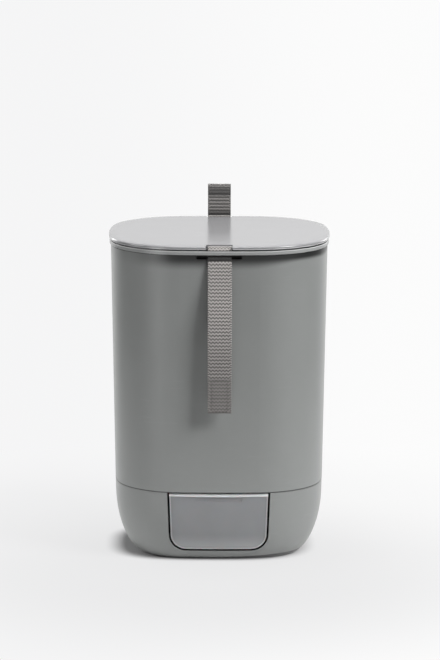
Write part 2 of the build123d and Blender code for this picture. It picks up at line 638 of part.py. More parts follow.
def make_valve_body():
    body = tube(0, VALVE_Y, VALVE_TUBE_BOTTOM_Z, FLANGE_TOP_Z, VALVE_TUBE_RADIUS, VALVE_BORE_RADIUS)
    body += tube(0, VALVE_Y, GASKET_TOP_Z, FLANGE_TOP_Z, VALVE_FLANGE_RADIUS, VALVE_BORE_RADIUS)
    hub_hole = STEM_RADIUS + STEM_FIT
    spider = tube(0, VALVE_Y, SPIDER_Z, SPIDER_Z + SPIDER_HEIGHT, hub_hole + SPIDER_HUB)
    reach = VALVE_BORE_RADIUS + 1
    arm = Pos(0, reach / 2, SPIDER_Z + SPIDER_HEIGHT / 2) * Box(SPIDER_ARM, reach, SPIDER_HEIGHT)
    for turn in range(3):
        spider += Pos(0, VALVE_Y, 0) * Rot(0, 0, 120 * turn) * arm
    spider -= tube(0, VALVE_Y, SPIDER_Z - 1, SPIDER_Z + SPIDER_HEIGHT + 1, hub_hole)
    return body + spider


def make_valve_gasket():
    hole = VALVE_TUBE_RADIUS + VALVE_HOLE_CLEARANCE
    return tube(0, VALVE_Y, SUMP_FLOOR_Z, GASKET_TOP_Z, VALVE_FLANGE_RADIUS, hole)


def make_valve_nut():
    top = SUMP_FLOOR_Z - FLOOR_THICKNESS
    nut = extrude(RegularPolygon(NUT_FLATS / 2, 6, major_radius=False), amount=NUT_HEIGHT)
    nut = Pos(0, VALVE_Y, top - NUT_HEIGHT) * nut
    return nut - tube(0, VALVE_Y, top - NUT_HEIGHT - 1, top + 1, VALVE_TUBE_RADIUS + NUT_FIT)


def make_valve_stem():
    stem = tube(0, VALVE_Y, BUTTON_TOP_Z - BUTTON_SOCKET, HEAD_Z + STEM_HEAD_HEIGHT, STEM_RADIUS)
    head = Pos(0, VALVE_Y, HEAD_Z + STEM_HEAD_HEIGHT / 2) * Cylinder(STEM_HEAD_RADIUS, STEM_HEAD_HEIGHT)
    top_edge = head.edges().sort_by(Axis.Z)[-1]
    return stem + fillet(top_edge, STEM_HEAD_HEIGHT / 2)


def make_valve_seal():
    return tube(0, VALVE_Y, FLANGE_TOP_Z, HEAD_Z, SEAL_DISC_RADIUS, STEM_RADIUS + STEM_FIT)


def make_valve_button():
    button = Pos(0, VALVE_Y, BUTTON_TOP_Z - BUTTON_HEIGHT / 2) * Cylinder(BUTTON_RADIUS, BUTTON_HEIGHT)
    button = fillet(button.edges().sort_by(Axis.Z)[0], BUTTON_HEIGHT / 3)
    return button - tube(0, VALVE_Y, BUTTON_TOP_Z - BUTTON_SOCKET, BUTTON_TOP_Z + 1, STEM_RADIUS + STEM_FIT)


def make_valve_spring():
    low = BUTTON_TOP_Z + SPRING_WIRE_RADIUS + SPRING_END_GAP
    length = SPIDER_Z - BUTTON_TOP_Z - 2 * (SPRING_WIRE_RADIUS + SPRING_END_GAP)
    pitch = length / SPRING_TURNS
    helix = Helix(pitch=pitch, height=length, radius=SPRING_RADIUS)
    section = Plane(origin=helix @ 0, z_dir=helix % 0) * Circle(SPRING_WIRE_RADIUS)
    print("spring: turns", SPRING_TURNS, "least gap to itself", round(pitch - 2 * SPRING_WIRE_RADIUS, 2))
    return Pos(0, VALVE_Y, low) * sweep(section, path=helix, is_frenet=True)


def main():
    anchor = make_strap_anchor()
    nodes = {
        "lid_cover": make_lid(),
        "lid_seal": make_lid_seal(),
        "rim_collar": make_collar(),
        "bucket_shell": make_bucket(),
        "front_strap_pin": make_pin(-1),
        "rear_strap_pin": make_pin(1),
        "front_strap_anchor": anchor,
        "rear_strap_anchor": anchor.mirror(Plane.XZ),
        "front_strap_fall": make_front_strap(),
        "rear_strap_stem": make_rear_stem(),
        "rear_strap_crest": make_rear_crest(),
        "rear_strap_tail": make_rear_tail(),
        "strainer_plate": make_strainer(),
        "valve_body": make_valve_body(),
        "valve_gasket": make_valve_gasket(),
        "valve_nut": make_valve_nut(),
        "valve_stem": make_valve_stem(),
        "valve_seal": make_valve_seal(),
        "valve_spring": make_valve_spring(),
        "valve_button": make_valve_button(),
        "base_shell": make_base(),
        "juice_cup": make_cup(),
    }
    os.makedirs("parts", exist_ok=True)
    for name, shape in nodes.items():
        export_step(shape, f"parts/{name}.step")
    print("strap pivots at Y", round(PIVOT_Y, 3), "Z", round(PIVOT_Z, 3))
    for angle in (45, 135):
        y, z = bend_point(angle, FOLD_PIVOT_RADIUS)
        print("rear strap fold pivot at Y", round(y, 3), "Z", round(z, 3))
    print("rear strap tail length", round(TAIL_LENGTH, 1))


main()
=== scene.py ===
"""Looks of the kitchen bokashi bin: moulded grey plastic, a frosted juice cup, woven straps, a pale studio.

Metres, +X right, +Y to the back, +Z up. Every piece keeps its place in its mesh.
"""

import math

import bpy
import numpy as np
from bpy.props import FloatProperty, FloatVectorProperty, PointerProperty
from mathutils import Matrix, Vector


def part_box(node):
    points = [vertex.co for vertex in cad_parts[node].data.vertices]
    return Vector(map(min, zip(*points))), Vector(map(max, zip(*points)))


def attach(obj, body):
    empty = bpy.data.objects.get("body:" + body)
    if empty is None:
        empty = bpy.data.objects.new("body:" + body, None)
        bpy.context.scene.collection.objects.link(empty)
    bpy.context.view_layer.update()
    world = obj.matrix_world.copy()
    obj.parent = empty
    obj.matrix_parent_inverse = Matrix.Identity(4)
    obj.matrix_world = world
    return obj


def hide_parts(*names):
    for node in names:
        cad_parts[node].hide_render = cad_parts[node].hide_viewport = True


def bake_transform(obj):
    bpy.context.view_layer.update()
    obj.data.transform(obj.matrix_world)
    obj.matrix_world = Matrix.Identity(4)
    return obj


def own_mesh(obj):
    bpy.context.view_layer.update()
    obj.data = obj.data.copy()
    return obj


bl_info = {
    "name": "Bokashi bin looks",
    "version": (1, 0, 0),
    "blender": (4, 5, 0),
    "location": "3D View > Sidebar > Bokashi bin",
    "description": "Finishes, webbing straps and studio of a kitchen bokashi bin",
    "category": "Object",
}

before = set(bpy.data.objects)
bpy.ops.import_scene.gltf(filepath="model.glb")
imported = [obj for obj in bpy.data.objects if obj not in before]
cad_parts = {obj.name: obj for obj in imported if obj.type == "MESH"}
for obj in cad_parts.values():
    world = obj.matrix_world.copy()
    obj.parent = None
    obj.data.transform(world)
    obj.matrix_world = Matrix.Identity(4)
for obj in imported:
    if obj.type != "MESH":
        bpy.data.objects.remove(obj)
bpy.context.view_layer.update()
MM = 0.001

# Straps, in millimetres
GRID = 0.5  # Step of the mesh along and across
PLY = 1.6
STRAP_HALF_WIDTH = 14.0
EDGE_ROUND = 0.7
SELVEDGE = 12.1  # Half width where the beaded edge begins
SELVEDGE_BLEND = 0.6
HEM_GAP = 0.1
HEM_LENGTH = 43.0
HEM_BLEND = 3.0  # Way over which the weave becomes the hem's calmer one
SEAM_INSET = 3.0
SEAM_HALF_WIDTH = 9.0
REAR_SEAM_ASIDE = -0.5
WRAP_RADIUS = 4.4
WRAP_DROP = 0.2  # Below the wrap, where the webbing turns back to the pin
LAP_INSET = 1.4
LAP_DROP = 2.6
CROOK_RADIUS = 1.6
BEND_RADIUS = 12.0
CREST_FOOT = 12.0  # Straight webbing below the rear strap's bend that goes into the bend's piece
BOW_DROP = 74.0
BOW_RADIUS = 160.0
BAND_HEIGHT = 5.6
BAND_OVER_WALL = 2.6
NEARLY = 0.999  # Share of a radius that leaves a short run between two bends

# Valve spring, in millimetres
SPRING_TURNS = 6
SPRING_STEPS = 48  # Rings of the mesh in a turn
SPRING_WIRE = 0.4  # Radius

# Stage, in metres
LAMP_TARGET = (0, -0.1, 0.24)
LAMP_DISTANCE = 2.4
PAPER_REACH = 30.0
FOOT_ASIDE = 0.010  # To the left, where the shadow is wider
FOOT_HALF_WIDTH = 0.101
FOOT_HALF_DEPTH = 0.083

# Cup front, in millimetres and degrees
CUP_CORNER = 18.3
CUP_LEAN = 2.05
CUP_GAP = 2.0


def corners_of(node):
    """Lowest and highest corner of a CAD node, in millimetres."""
    low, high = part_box(node)
    return np.array(low) / MM, np.array(high) / MM


class Wire:
    """A value on its way through a material. Python's operators add Math nodes."""

    def __init__(self, finish, socket):
        self.finish = finish
        self.socket = socket

    def out(self, name):
        """Another output of the node that this value comes from."""
        return Wire(self.finish, self.socket.node.outputs[name])

    def math(self, operation, *others):
        """A Math node of this value and others."""
        return self.finish.math(operation, self, *others)

    def __add__(self, other):
        return self.math("ADD", other)

    def __sub__(self, other):
        return self.math("SUBTRACT", other)

    def __rsub__(self, other):
        return self.finish.math("SUBTRACT", other, self)

    def __mul__(self, other):
        return self.math("MULTIPLY", other)

    def __truediv__(self, other):
        return self.math("DIVIDE", other)

    def __pow__(self, other):
        return self.math("POWER", other)

    def __abs__(self):
        return self.math("ABSOLUTE")

    def __neg__(self):
        return self.finish.math("SUBTRACT", 0.0, self)

    __radd__ = __add__
    __rmul__ = __mul__


class Finish:
    """The nodes of a material, or of the world that is given as its owner, under construction."""

    def __init__(self, name, owner=None):
        self.owner = owner or bpy.data.materials.new(name)
        self.owner.use_nodes = True
        self.tree = self.owner.node_tree
        self.tree.nodes.clear()

    def node(self, kind, settings=None, inputs=None):
        """A node: its settings are set first, then its sockets get numbers, colours or links."""
        made = self.tree.nodes.new("ShaderNode" + kind)
        for key, value in (settings or {}).items():
            setattr(made, key, value)
        for key, value in (inputs or {}).items():
            if isinstance(value, Wire):
                self.tree.links.new(value.socket, made.inputs[key])
            else:
                made.inputs[key].default_value = value
        return Wire(self, made.outputs[0]) if made.outputs else None

    def math(self, operation, *values):
        """A Math node with the given values."""
        return self.node("Math", {"operation": operation}, dict(enumerate(values)))

    def mix(self, factor, a, b):
        """Colour between a and b."""
        inputs = {0: factor, 6: a, 7: b}
        return self.node("Mix", {"data_type": "RGBA"}, inputs).out(2)

    def step(self, value, low, high):
        """0 below low, 1 above high and smooth between."""
        settings = {"interpolation_type": "SMOOTHSTEP"}
        inputs = {"Value": value, "From Min": low, "From Max": high}
        return self.node("MapRange", settings, inputs)

    def between(self, value, low, high, soft):
        """1 from low to high, with soft edges of the given half width."""
        begun = self.step(value, low - soft, low + soft)
        ended = self.step(value, high - soft, high + soft)
        return begun * (1.0 - ended)

    def place(self, kind="Object"):
        """A point or direction, and its X, Y and Z."""
        point = self.node("TexCoord").out(kind)
        split = self.node("SeparateXYZ", None, {0: point})
        return point, split, split.out("Y"), split.out("Z")

    def noise(self, point, size, detail=2.0, rough=0.5, stretch=None):
        """Noise from 0 to 1 with spots of about the given size in metres."""
        if stretch:
            point = self.node("Mapping", None, {"Vector": point, "Scale": stretch})
        inputs = {"Vector": point, "Scale": 0.5 / size, "Detail": detail, "Roughness": rough}
        return self.node("TexNoise", None, inputs)

    def bump(self, height, distance, strength=1.0, under=None):
        """A normal from a height, on top of the normal that is given as under."""
        inputs = {"Strength": strength, "Distance": distance, "Height": height}
        if under:
            inputs["Normal"] = under
        return self.node("Bump", None, inputs)

    def surface(self, **inputs):
        """The main shader and the output. Names are the shader's sockets with _ for a space."""
        named = {key.replace("_", " "): value for key, value in inputs.items()}
        shader = self.node("BsdfPrincipled", None, named)
        self.node("OutputMaterial", None, {"Surface": shader})
        return self.owner


def room_in_gloss(made, x, y, stage):
    """What gloss mirrors: pale behind the bin, half pale in front of it and dark on its left and right.

    It goes by y / sqrt(x2 + y2), the cosine of a direction's turn from straight behind.
    """
    turned = y / ((x ** 2.0 + y ** 2.0) ** 0.5 + 1e-4)
    shade = made.mix(made.step(turned, 0.55, 0.85), rgba(stage.gloom), rgba(stage.pale_right))
    return made.mix(made.step(-turned, 0.1, 0.6), shade, rgba(stage.before))


def rgba(colour, shade=1.0):
    """A colour times a shade, with full opacity."""
    return (colour[0] * shade, colour[1] * shade, colour[2] * shade, 1.0)


def moulded_plastic(name, colour, roughness, grain_depth, cloud_depth=0.00025, shaded=None, paler=None):
    """Satin moulded plastic: fine sparked grain, faint cloudiness, hairline rubs and paler scuffs low down.

    The functions shaded and paler give a share of painted shade and of painted highlight at a place: painted
    shade in corners, gaps and under edges, and painted highlight on edges that catch the light.
    """
    made = Finish(name)
    point, x, y, z = made.place()
    cloud = made.noise(point, 0.03, 3.0)
    grain = made.noise(point, 0.00045, 2.0, 0.6)
    rubs = made.noise(point, 0.0009, 1.0, 0.5, (0.06, 0.06, 1.0))
    rubbed = made.step(made.noise(point, 0.05), 0.5, 0.62)
    rub_mask = made.step(rubs, 0.62, 0.72) * rubbed
    scuff = made.step(made.noise(point, 0.0035, 4.0, 0.7), 0.56, 0.7)
    low = made.step(z, 0.012, 0.0)
    wear_and_highlight = scuff * low * 0.5 + rub_mask * 0.12
    shade = made.mix(cloud, rgba(colour, 0.965), rgba(colour, 1.035))
    shade = made.mix(wear_and_highlight, shade, rgba(colour, 1.35))
    # Painted highlight: a pale share on edges that catch the light.
    if paler:
        shade = made.mix(paler(made, x, y, z), shade, rgba((0.8, 0.8, 0.8)))
    # Painted shade: a dark share where shade falls.
    if shaded:
        shade = made.mix(shaded(made, x, y, z), shade, rgba(colour, 0.03))
    rough = roughness * (1.0 + (cloud - 0.5) * 0.2 + (grain - 0.5) * 0.16) + wear_and_highlight * 0.08
    normal = made.bump(grain, grain_depth, 0.6, made.bump(cloud, cloud_depth, 0.25))
    return made.surface(Base_Color=shade, Roughness=rough, Normal=normal, IOR=1.5)


def inside_outline(made, x, z, grown):
    """Distance in millimetres inward from the cup's outline, which is grown outwards by the given amount.

    It is the least of those to its leaning sides, its bottom and its corner arcs.
    """
    low, high = corners_of("juice_cup")
    corner, lean = CUP_CORNER + grown, math.tan(math.radians(CUP_LEAN))
    side = (high[0] + grown - (high[2] - z / MM) * lean) - abs(x) / MM
    floor = z / MM - (low[2] - grown)
    from_side = made.math("MAXIMUM", corner - side, 0.0)
    from_floor = made.math("MAXIMUM", corner - floor, 0.0)
    return corner - (from_side ** 2.0 + from_floor ** 2.0) ** 0.5


def band_edges():
    """Heights of the band's lower and upper edge, in metres."""
    upper = corners_of("bucket_shell")[1][2] + BAND_OVER_WALL
    return (upper - BAND_HEIGHT) * MM, upper * MM


def parting_height():
    """Height of the seam between the base and the bucket, in metres."""
    return corners_of("bucket_shell")[0][2] * MM


def lid_top():
    """Height of the lid's top, in metres."""
    return corners_of("lid_cover")[1][2] * MM


def painted_shade_under_band(made, x, y, z):
    """Painted shade on the bucket: in the strap pockets, close under the band, less on the left, and along
    its foot.

    The shade under the band reaches 19 mm down, and 8.5 mm less on the right, where more light comes in.
    """
    band, parting = band_edges()[0], parting_height()
    # Painted shade under the band, standing in for its shadow.
    strength = made.step(x, -0.110, -0.050) * 0.86 + 0.1
    lowest = made.step(x, 0.03, 0.10) * 0.0085 + (band - 0.0190)
    below = made.step(z, lowest, band - 0.0042) * strength
    # Painted shadow in the strap pockets under the band.
    pocket_sides = made.step(abs(x), 0.0275, 0.0250)
    pocket = made.step(z, band - 0.0074, band - 0.0058) * pocket_sides
    # Painted shade along the bucket's foot, in the seam with the base.
    seam = 1.0 - made.step(z, parting + 0.0004, parting + 0.0012)
    return made.math("MAXIMUM", made.math("MAXIMUM", below, pocket), seam * 0.8)


def painted_shade_round_the_cup(made, x, y, z):
    """Painted shade on the base: on the walls of its opening for the cup, on the edge at the bucket and close
    to the floor.

    The painted shade at the floor is 4 mm high, and 7.5 mm on the right.
    """
    parting = parting_height()
    near_wall = made.between(inside_outline(made, x, z, CUP_GAP), -0.35, 0.8, 0.15)
    wall = near_wall * made.step(y, -0.02, -0.06)
    seam = made.step(z, parting - 0.0007, parting - 0.0002) * 0.6
    lowest = made.step(x, 0.0, 0.08) * 0.0035 + 0.0040
    # Painted contact shadow along the floor.
    under = 1.0 - made.step(z, lowest - 0.0015, lowest)
    return made.math("MAXIMUM", made.math("MAXIMUM", wall, seam), under * 0.95)


def painted_shade_band(made, x, y, z):
    """Painted shade on the band's hidden top under the lid and along its lower edge."""
    lower, upper = band_edges()
    top = made.step(z, upper - 0.0006, upper - 0.0003)
    foot = made.step(z, lower + 0.0008, lower + 0.0004)
    return made.math("MAXIMUM", top, foot) * 0.95


def band_edge(made, x, y, z):
    """Painted highlight on the band's rounded upper edge."""
    upper = band_edges()[1]
    return made.between(z, upper - 0.0016, upper - 0.0006, 0.0002) * 0.45


def painted_highlight_lid_edge(made, x, y, z):
    """Painted highlight on the lid's rounded lower edge."""
    top = lid_top()
    return made.between(z, top - 0.0039, top - 0.0032, 0.0003) * 0.5


def frosted_plastic(name, looks):
    """Milky cup: darker over its hollow as painted shade, paler low down as painted light, with painted
    highlights at its lip and along its outline and painted shade in the gap round it.
    """
    made = Finish(name)
    colour, pale = looks.cup, looks.cup_painted_light
    point, x, y, z = made.place()
    lip_foot = (corners_of("juice_cup")[1][2] - looks.cup_lip) * MM
    edge = inside_outline(made, x, z, 0.0)
    # Painted highlight along the outline, on the front and stronger low down.
    rim = 1.0 - made.step(edge, 0.9, 2.3)
    front = made.step(y, -0.085, -0.095)
    # Painted light low down, where light comes in through the frosted plastic.
    glow = made.step(z, 0.036, 0.013) * (0.75 + made.noise(point, 0.02) * 0.5)
    cloud = made.noise(point, 0.012, 3.0)
    grain = made.noise(point, 0.0005, 2.0, 0.6)
    # Painted highlight on the lip.
    lip = made.step(z, lip_foot - 0.0003, lip_foot)
    shade = made.mix(cloud, rgba(colour, 0.94), rgba(colour, 1.06))
    shade = made.mix(glow * 0.6, shade, rgba(pale, 0.8))
    rim = rim * front * (0.95 - made.step(z, 0.018, 0.030) * 0.4)
    shade = made.mix(made.math("MAXIMUM", rim, lip), shade, rgba(pale))
    # Painted shade in the gap round the cup.
    painted_gap_shade = (1.0 - made.step(edge, 0.15, 0.45)) * (1.0 - lip)
    shade = made.mix(painted_gap_shade, shade, rgba(colour, 0.03))
    rough = 0.30 + (cloud - 0.5) * 0.08 + (grain - 0.5) * 0.06
    normal = made.bump(grain, 0.00003, 0.5)
    return made.surface(
        Base_Color=shade, Roughness=rough, Normal=normal, IOR=1.5,
        Subsurface_Weight=0.12, Subsurface_Scale=0.002,
    )


def soft_rubber(name, colour):
    """Matt seal rubber with a dusting of bloom."""
    made = Finish(name)
    point, x, y, z = made.place()
    bloom = made.noise(point, 0.004, 4.0, 0.65)
    shade = made.mix(made.step(bloom, 0.45, 0.75), rgba(colour), rgba(colour, 1.7))
    normal = made.bump(made.noise(point, 0.0006), 0.00003, 0.6)
    return made.surface(Base_Color=shade, Roughness=0.55 + bloom * 0.2, Normal=normal)


def drawn_steel(name, colour):
    """Drawn steel: fine lines along X and a few darker stains."""
    made = Finish(name)
    point, x, y, z = made.place()
    lines = made.noise(point, 0.0004, 2.0, 0.5, (0.02, 1.0, 1.0))
    stain = made.noise(point, 0.006, 3.0)
    shade = made.mix(made.step(stain, 0.5, 0.8) * 0.5, rgba(colour), rgba(colour, 0.7))
    normal = made.bump(lines, 0.00001, 0.5)
    return made.surface(Base_Color=shade, Metallic=1.0, Roughness=0.28 + lines * 0.2, Normal=normal)


def woven_webbing(name, looks, swing, tint=1.0, dark=(), pale=()):
    """Chevron webbing on the strap's own across and along values, with the formula of chevron() below.

    Dark and pale list heights in metres of painted shade and of painted highlight, from and to, each with a
    share and the half width of its soft edges.
    """
    made = Finish(name)
    point, x, y, z = made.place()
    across = made.node("Attribute", {"attribute_name": "across"}).out("Fac")
    along = made.node("Attribute", {"attribute_name": "along"}).out("Fac")
    flat = made.node("Attribute", {"attribute_name": "flat"}).out("Fac")
    turns = made.math("FRACT", across / looks.zigzag + 100.0)
    wave = abs(turns * 2.0 - 1.0)
    phase = along / looks.row + wave * swing
    ridge = made.math("COSINE", phase * (2 * math.pi)) * 0.5 + 0.5
    leaning = made.math("COMPARE", turns, 0.25, 0.25) * 2.0 - 1.0
    yarn_phase = (across + leaning * along * 0.35) * (2 * math.pi / looks.yarn)
    yarn = made.math("COSINE", yarn_phase) * 0.5 + 0.5
    selvedge = made.step(abs(across), SELVEDGE, SELVEDGE + SELVEDGE_BLEND)
    bead = made.math("COSINE", along * (2 * math.pi / looks.bead)) * 0.5 + 0.5
    weave = ridge * 0.8 + yarn * 0.2
    height = made.node("Mix", {"data_type": "FLOAT"}, {0: selvedge, 2: weave, 3: bead})
    fluff = made.noise(point, 0.0009, 3.0, 0.7)
    tone = made.step(height + (fluff - 0.5) * 0.35, 0.05, 0.85)
    # Painted shade in the weave: the grooves between the ribs are dark, less so on the calmer hem; a tint
    # below 1 darkens the whole as painted shade.
    painted_groove_shade = made.mix(flat, rgba(looks.gap_colour, tint), rgba(looks.gap_colour, 1.5 * tint))
    top = made.mix(flat, rgba(looks.yarn_colour, tint), rgba(looks.yarn_colour, 0.66 * tint))
    shade = made.mix(tone, painted_groove_shade, top)
    shade = made.mix(made.noise(point, 0.02, 2.0) * 0.3, shade, rgba(looks.yarn_colour, 0.55 * tint))
    # Bands of painted shade and of painted highlight by height.
    for low, high, share, soft in dark:
        shade = made.mix(made.between(z, low, high, soft) * share, shade, rgba(looks.gap_colour, 0.1))
    for low, high, share, soft in pale:
        shade = made.mix(made.between(z, low, high, soft) * share, shade, rgba(looks.yarn_colour, 1.6))
    normal = made.bump(height + fluff * 0.3, 0.00022, 0.55)
    rough = 0.78 + fluff * 0.15
    return made.surface(
        Base_Color=shade, Roughness=rough, Normal=normal, Sheen_Weight=0.25, Sheen_Roughness=0.4
    )


def sewing_thread(name, colour):
    """Twisted thread: fine darker and paler spots."""
    made = Finish(name)
    point, x, y, z = made.place()
    twist = made.noise(point, 0.0003, 1.0)
    shade = made.mix(twist, rgba(colour, 0.7), rgba(colour, 1.2))
    normal = made.bump(twist, 0.0001, 0.5)
    return made.surface(Base_Color=shade, Roughness=0.6 + twist * 0.2, Normal=normal)


def dress(node, material):
    """Gives a CAD node its material through its object's slots."""
    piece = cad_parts[node]
    if not piece.material_slots:
        piece.data.materials.append(None)
    for slot in piece.material_slots:
        slot.link = "OBJECT"
        slot.material = material


def new_piece(name, points, faces, material):
    """A smooth mesh in the scene, at the origin."""
    mesh = bpy.data.meshes.new(name)
    mesh.from_pydata(points, [], faces)
    mesh.update()
    mesh.materials.append(material)
    mesh.shade_smooth()
    piece = bpy.data.objects.new(name, mesh)
    bpy.context.scene.collection.objects.link(piece)
    return piece


def route_of(corners, radii):
    """A route in the Y-Z plane as runs and arcs: start, heading, length and turn of each."""
    corners = [np.array(c, float) for c in corners]
    parts = []
    at = corners[0]
    for before, corner, after, radius in zip(corners, corners[1:], corners[2:], radii):
        came = (corner - before) / np.linalg.norm(corner - before)
        goes = (after - corner) / np.linalg.norm(after - corner)
        heading = math.atan2(came[1], came[0])
        turn = math.atan2(came[0] * goes[1] - came[1] * goes[0], came @ goes)
        cut = radius * math.tan(abs(turn) / 2)
        start = corner - came * cut
        parts.append((at, heading, np.linalg.norm(start - at), 0.0))
        parts.append((start, heading, radius * abs(turn), turn))
        at = corner + goes * cut
    last = corners[-1] - at
    parts.append((at, math.atan2(last[1], last[0]), np.linalg.norm(last), 0.0))
    return parts


def route_length(parts):
    """Length of a route's runs and arcs together."""
    return sum(part[2] for part in parts)


def walk(parts, distance):
    """Y, Z and heading at distances along a route: a run goes straight, an arc turns its heading evenly."""
    y, z, heading = (np.zeros_like(distance) for _ in range(3))
    begun = 0.0
    for start, angle, length, turn in parts:
        here = distance >= begun - 1e-9
        d = np.clip(distance - begun, 0.0, length)
        if turn:
            r = length / turn
            a = angle + d / r
            py = start[0] + r * (np.sin(a) - math.sin(angle))
            pz = start[1] - r * (np.cos(a) - math.cos(angle))
        else:
            a = angle + 0 * d
            py = start[0] + d * math.cos(angle)
            pz = start[1] + d * math.sin(angle)
        y, z, heading = np.where(here, py, y), np.where(here, pz, z), np.where(here, a, heading)
        begun += length
    return y, z, heading


def chevron(across, along, row, zigzag, swing):
    """Height from 0 to 1 of zigzag ribs: a cosine along the strap, its phase moved by a triangle wave."""
    wave = np.abs(2 * ((across / zigzag) % 1) - 1)
    return 0.5 + 0.5 * np.cos(2 * np.pi * (along / row + swing * wave))


def tube_faces(rows, count, start=0):
    """Quads between rings of count points each, with both ends closed, numbered from start."""
    i, j = np.meshgrid(np.arange(rows - 1), np.arange(count), indexing="ij")
    k = (j + 1) % count
    corners = (i * count + j, (i + 1) * count + j, (i + 1) * count + k, i * count + k)
    quads = (np.stack(corners, -1).reshape(-1, 4) + start).tolist()
    first = list(range(start, start + count))
    last = list(range(start + rows * count - 1, start + (rows - 1) * count - 1, -1))
    return quads + [first, last]


def strap_piece(name, parts, first, last, looks, material, swing, flat_from=None, aside=0.0):
    """Webbing along a route from one distance to another, calmer beyond the distance flat_from.

    Its section is a flat loop with round edges, half thickness times the cosine of an angle round each edge,
    and the faces sink into the weave by the relief times one minus the chevron height.
    """
    rows = int(round((last - first) / GRID)) + 1
    s = np.linspace(first, last, rows)
    y, z, heading = walk(parts, s)
    half = PLY / 2
    inner = STRAP_HALF_WIDTH - EDGE_ROUND
    flat = np.linspace(-inner, inner, int(2 * inner / GRID) + 1)
    turn = np.linspace(0, np.pi, 7)[1:-1]
    edge_x = inner + EDGE_ROUND * np.sin(turn)
    loop_x = np.concatenate([flat, edge_x, -flat, -edge_x])
    side = np.concatenate([np.ones_like(flat), np.cos(turn), -np.ones_like(flat), -np.cos(turn)])
    along = s[:, None] + 0 * loop_x[None, :]
    across = loop_x[None, :] + 0 * along
    weave = chevron(across, along, looks.row, looks.zigzag, swing)
    bead = 0.5 + 0.5 * np.cos(2 * np.pi * along / looks.bead)
    edge = np.clip((np.abs(across) - SELVEDGE) / SELVEDGE_BLEND, 0, 1)
    calm = 0 * along if flat_from is None else np.clip((along - flat_from) / HEM_BLEND, 0, 1)
    height = weave * (1 - edge) + bead * edge
    depth = looks.relief * (1 - 0.45 * calm)
    lift = side[None, :] * (half - depth * (1 - height) * np.abs(side)[None, :])
    widen = 1 + 0.012 * (bead - 0.5) * edge
    px = across * widen + aside
    py = y[:, None] - np.sin(heading)[:, None] * lift
    pz = z[:, None] + np.cos(heading)[:, None] * lift
    points = np.stack([px, py, pz], -1).reshape(-1, 3) * MM
    count = len(loop_x)
    piece = new_piece(name, points, tube_faces(rows, count), material)
    for label, values in (("across", across), ("along", along), ("flat", calm)):
        store = piece.data.attributes.new(label, "FLOAT", "POINT")
        store.data.foreach_set("value", values.astype(np.float32).ravel())
    uv = piece.data.uv_layers.new(name="UVMap")
    vertex = np.zeros(len(piece.data.loops), np.int32)
    piece.data.loops.foreach_get("vertex_index", vertex)
    pairs = np.stack([(vertex % count) / count, (vertex // count) / rows], -1)
    uv.data.foreach_set("uv", pairs.astype(np.float32).ravel())
    return piece


def turned_over(faces):
    """The same faces, seen from the other side."""
    return [face[::-1] for face in faces]


def stitches(name, lines, normal_y, material, length=2.4, radius=0.28):
    """Sewing stitches: each is a capsule that bulges as the sine along it, with its ends down in the webbing.

    A line is its two ends in X and Z, and its Y. The stitches share it evenly, with 12 hundredths of a stitch
    between them.
    """
    gap = 0.12
    starts, steps = [], []
    for x0, z0, x1, z1, y in lines:
        line_start = np.array([x0, y, z0])
        whole = np.array([x1 - x0, 0, z1 - z0])
        count = max(1, int(round(math.hypot(x1 - x0, z1 - z0) / (length * (1 + gap)))))
        for n in range(count):
            starts.append(line_start + whole * (n + gap / 2) / count)
            steps.append(whole * (1 - gap) / count)
    starts, steps = np.array(starts), np.array(steps)
    t = np.linspace(0, 1, 7)
    ring = np.linspace(0, 2 * np.pi, 8, endpoint=False)
    swell = np.sqrt(np.clip(np.sin(np.pi * np.clip(t, 0.02, 0.98)), 0, 1))
    out = np.array([0.0, normal_y, 0.0])
    beside = np.cross(steps, out)
    beside /= np.linalg.norm(beside, axis=1)[:, None]
    middle = starts[:, None, :] + steps[:, None, :] * t[None, :, None]
    middle = middle + out * (0.22 * np.sin(np.pi * t))[None, :, None]
    around = (
        beside[:, None, None, :] * np.cos(ring)[None, None, :, None] * 1.15
        + out[None, None, None, :] * np.sin(ring)[None, None, :, None]
    )
    points = middle[:, :, None, :] + around * (radius * swell)[None, :, None, None]
    rows, count = len(t), len(ring)
    faces = []
    for n in range(len(starts)):
        faces += turned_over(tube_faces(rows, count, n * rows * count))
    return new_piece(name, points.reshape(-1, 3) * MM, faces, material)


def coil_spring(name, material):
    """Compression spring in the CAD spring's box: a middle line that turns and rises evenly, in round wire.

    The ring at each place of the line is the wire's radius times the cosine of an angle outwards, and times
    its sine upwards.
    """
    low, high = corners_of("valve_spring")
    middle = (low + high) / 2
    wire = SPRING_WIRE
    radius = (high[0] - low[0]) / 2 - wire
    t = np.linspace(0.0, 1.0, SPRING_TURNS * SPRING_STEPS + 1)
    angle = t * SPRING_TURNS * 2 * np.pi
    outward = np.stack([np.cos(angle), np.sin(angle), 0 * angle], -1)
    line = outward * radius + np.array([middle[0], middle[1], low[2] + wire])
    line[:, 2] += t * (high[2] - low[2] - 2 * wire)
    heading = np.gradient(line, axis=0)
    heading /= np.linalg.norm(heading, axis=1)[:, None]
    upward = np.cross(outward, heading)
    ring = np.linspace(0, 2 * np.pi, 12, endpoint=False)[None, :, None]
    around = outward[:, None, :] * np.cos(ring) + upward[:, None, :] * np.sin(ring)
    points = (line[:, None, :] + around * wire).reshape(-1, 3) * MM
    return new_piece(name, points, turned_over(tube_faces(len(t), ring.size)), material)


def hem_lines(middle, foot, y):
    """A sewn box with a bar across it a little below its middle, on the hem of a strap that ends at foot."""
    left, right = middle - SEAM_HALF_WIDTH, middle + SEAM_HALF_WIDTH
    low, high = foot + SEAM_INSET, foot + HEM_LENGTH - SEAM_INSET
    cross = low + 0.42 * (high - low)
    lines = [(x, low, x, high, y) for x in (left, right)]
    lines += [(left, z, right, z, y) for z in (low, cross, high)]
    return lines


